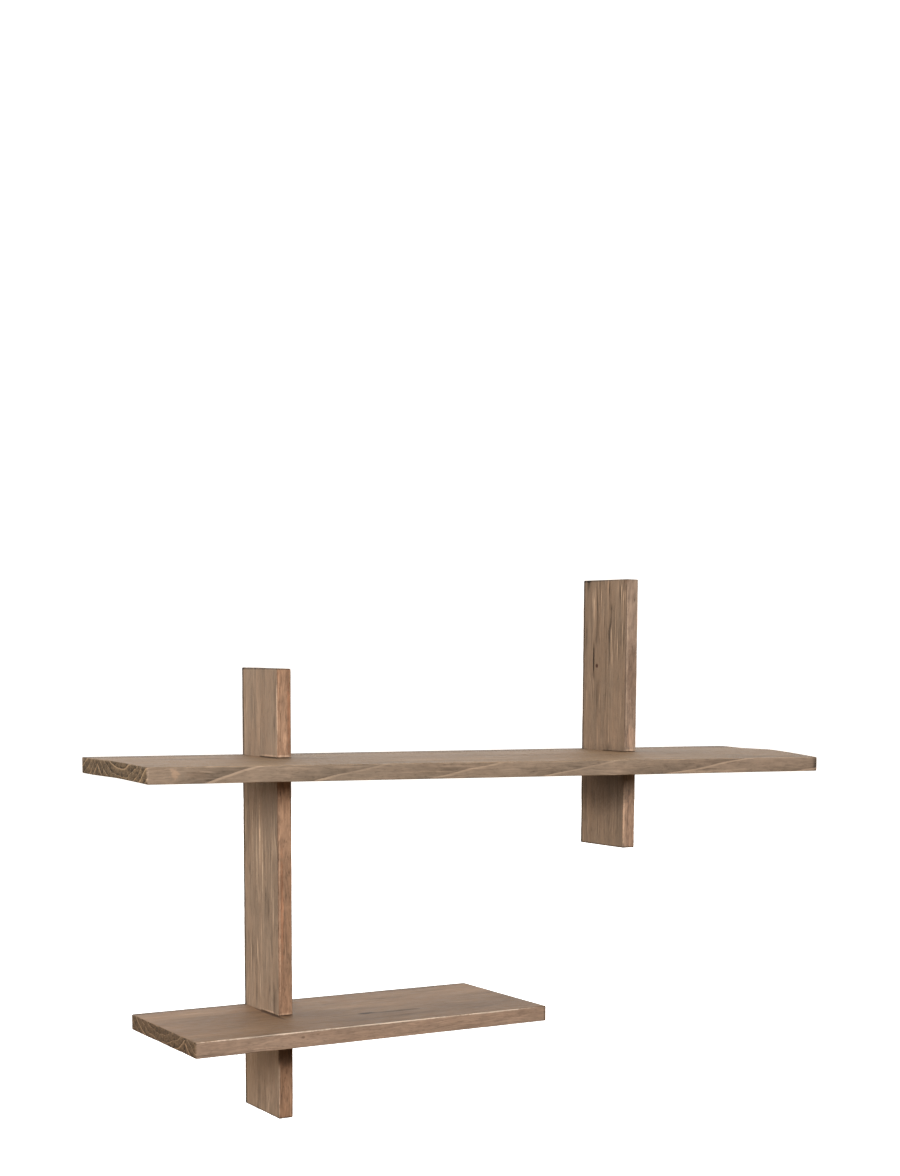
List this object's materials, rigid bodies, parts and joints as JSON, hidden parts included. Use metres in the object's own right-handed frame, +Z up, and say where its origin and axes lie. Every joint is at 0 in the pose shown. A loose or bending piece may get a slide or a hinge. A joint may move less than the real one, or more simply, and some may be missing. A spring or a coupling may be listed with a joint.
{
  "type": "wall shelf",
  "caption": "Wall shelf of solid hardwood boards: horizontal shelves of different length cross vertical uprights in halving joints and hang from keyhole plates.",
  "frame": {"origin": "on the wall plane, midway between the centres of the two keyholes", "axes": "+X along the shelves to the right as seen from the room, +Y into the wall, +Z up; the room is on the -Y side"},
  "size_m": [1, 0.21, 0.698],
  "materials": {
    "upper_shelf_wood": "grey-washed hardwood, matt",
    "lower_shelf_wood": "grey-washed hardwood, matt",
    "left_upright_wood": "grey-washed hardwood, matt",
    "right_upright_wood": "grey-washed hardwood, matt",
    "hanger_plate_steel": "zinc-plated, satin",
    "screw_steel": "zinc-plated, satin"
  },
  "bodies": {
    "root": {"upper_shelf": "upper_shelf_wood", "lower_shelf": "lower_shelf_wood", "left_upright": "left_upright_wood", "right_upright": "right_upright_wood", "left_hanger_plate": "hanger_plate_steel", "right_hanger_plate": "hanger_plate_steel", "left_hanger_screw_top": "screw_steel", "left_hanger_screw_bottom": "screw_steel", "right_hanger_screw_top": "screw_steel", "right_hanger_screw_bottom": "screw_steel", "upper_left_joint_screw": "screw_steel", "upper_right_joint_screw": "screw_steel", "lower_joint_screw": "screw_steel"}
  },
  "joints": []
}
